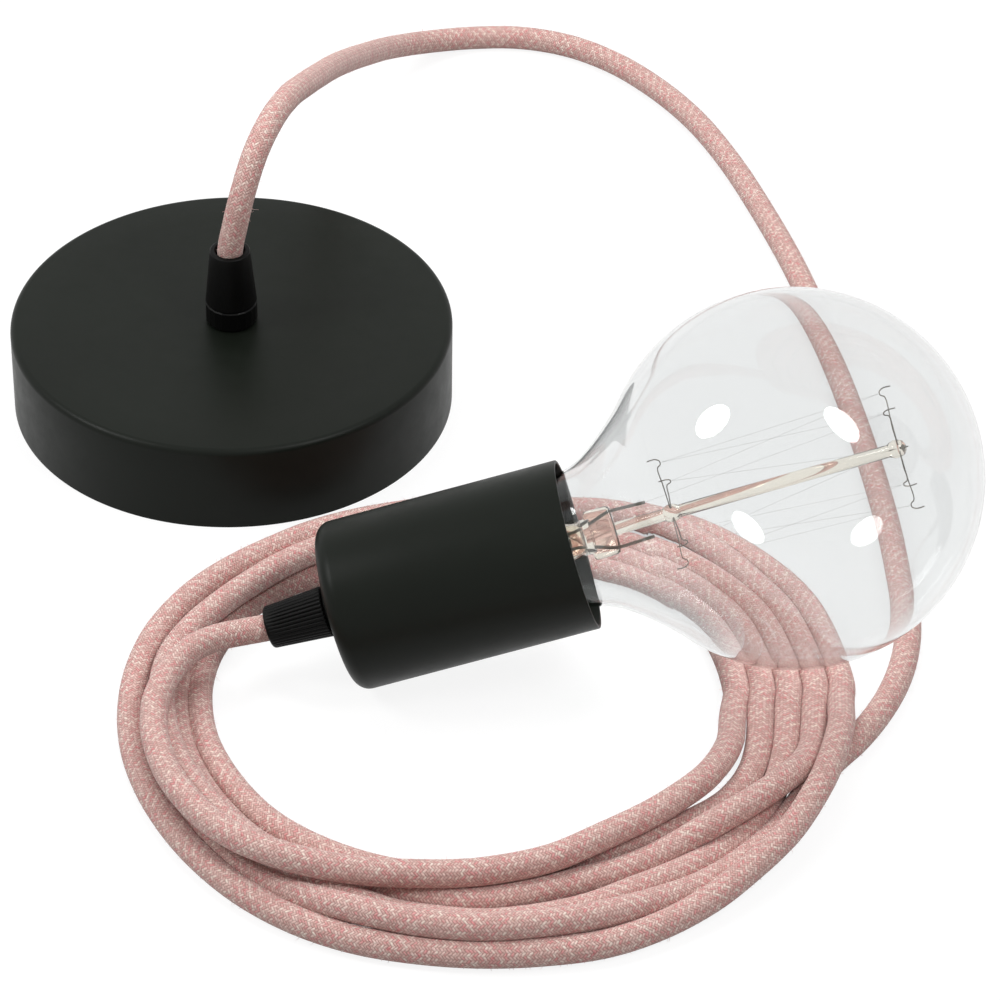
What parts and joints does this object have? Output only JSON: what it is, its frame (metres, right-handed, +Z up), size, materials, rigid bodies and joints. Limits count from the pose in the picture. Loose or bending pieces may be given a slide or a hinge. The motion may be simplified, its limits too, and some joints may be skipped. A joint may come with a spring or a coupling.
{
  "type": "pendant cord set with globe bulb",
  "caption": "Pendant light set laid out on a table: black steel ceiling rose, pink textile cord in a loose coil, black metal lampholder and a clear globe filament bulb.",
  "frame": {"origin": "On the floor, under the middle of the box round the rose, the lampholder and the bulb, without the cord.", "axes": "Z is up. X runs from the rose's side to the bulb's side, Y away from the lampholder towards the rose and the far bend of the cord."},
  "size_m": [0.2535, 0.4135, 0.1032],
  "materials": {
    "satin_black": "satin black paint on pressed steel",
    "black_plastic": "matt black nylon",
    "zinc_steel": "bright zinc plate",
    "brass": "bare brass",
    "nickel": "bright nickel on brass",
    "porcelain": "glazed white porcelain",
    "white_plastic": "white moulded plastic",
    "vitrite": "opaque black glass",
    "clear_glass": "clear",
    "stem_glass": "clear, slightly warm",
    "support_wire": "drawn wire",
    "tungsten": "dark coiled wire",
    "textile": "round pink and cream textile braid",
    "brown_core": "brown cable insulation",
    "blue_core": "blue cable insulation"
  },
  "bodies": {
    "root": {"canopy": "satin_black", "lampholder_shell": "satin_black", "fixing_bar": "zinc_steel", "rose_grip_nut": "zinc_steel", "holder_grip_nut": "zinc_steel", "terminal_fixing_screw": "zinc_steel", "earth_screw": "brass", "rose_grip_base": "black_plastic", "rose_grip_cone": "black_plastic", "holder_grip_base": "black_plastic", "holder_grip_cap": "black_plastic", "terminal_block": "white_plastic", "terminal_insert_1": "brass", "terminal_insert_2": "brass", "terminal_screw_1a": "zinc_steel", "terminal_screw_1b": "zinc_steel", "terminal_screw_2a": "zinc_steel", "terminal_screw_2b": "zinc_steel", "rose_core_1": "brown_core", "rose_core_2": "blue_core", "socket_dome": "porcelain", "contact_carrier": "porcelain", "socket_skirt": "porcelain", "centre_contact": "brass", "screw_shell": "brass", "terminal_post_live": "brass", "terminal_post_neutral": "brass", "holder_core_live": "brown_core", "holder_core_neutral": "blue_core", "bulb_cap": "nickel", "bulb_cap_insulator": "vitrite", "bulb_cap_contact": "brass", "bulb_glass": "clear_glass", "bulb_stem": "stem_glass", "lead_wire_upper": "support_wire", "lead_wire_lower": "support_wire", "lower_hook_1": "support_wire", "lower_hook_2": "support_wire", "lower_hook_3": "support_wire", "lower_hook_4": "support_wire", "upper_hook_1": "support_wire", "upper_hook_2": "support_wire", "upper_hook_3": "support_wire", "upper_hook_4": "support_wire", "upper_hook_5": "support_wire", "filament": "tungsten", "cord_arch": "textile", "cord_coil": "textile", "cord_tail": "textile"}
  },
  "joints": []
}
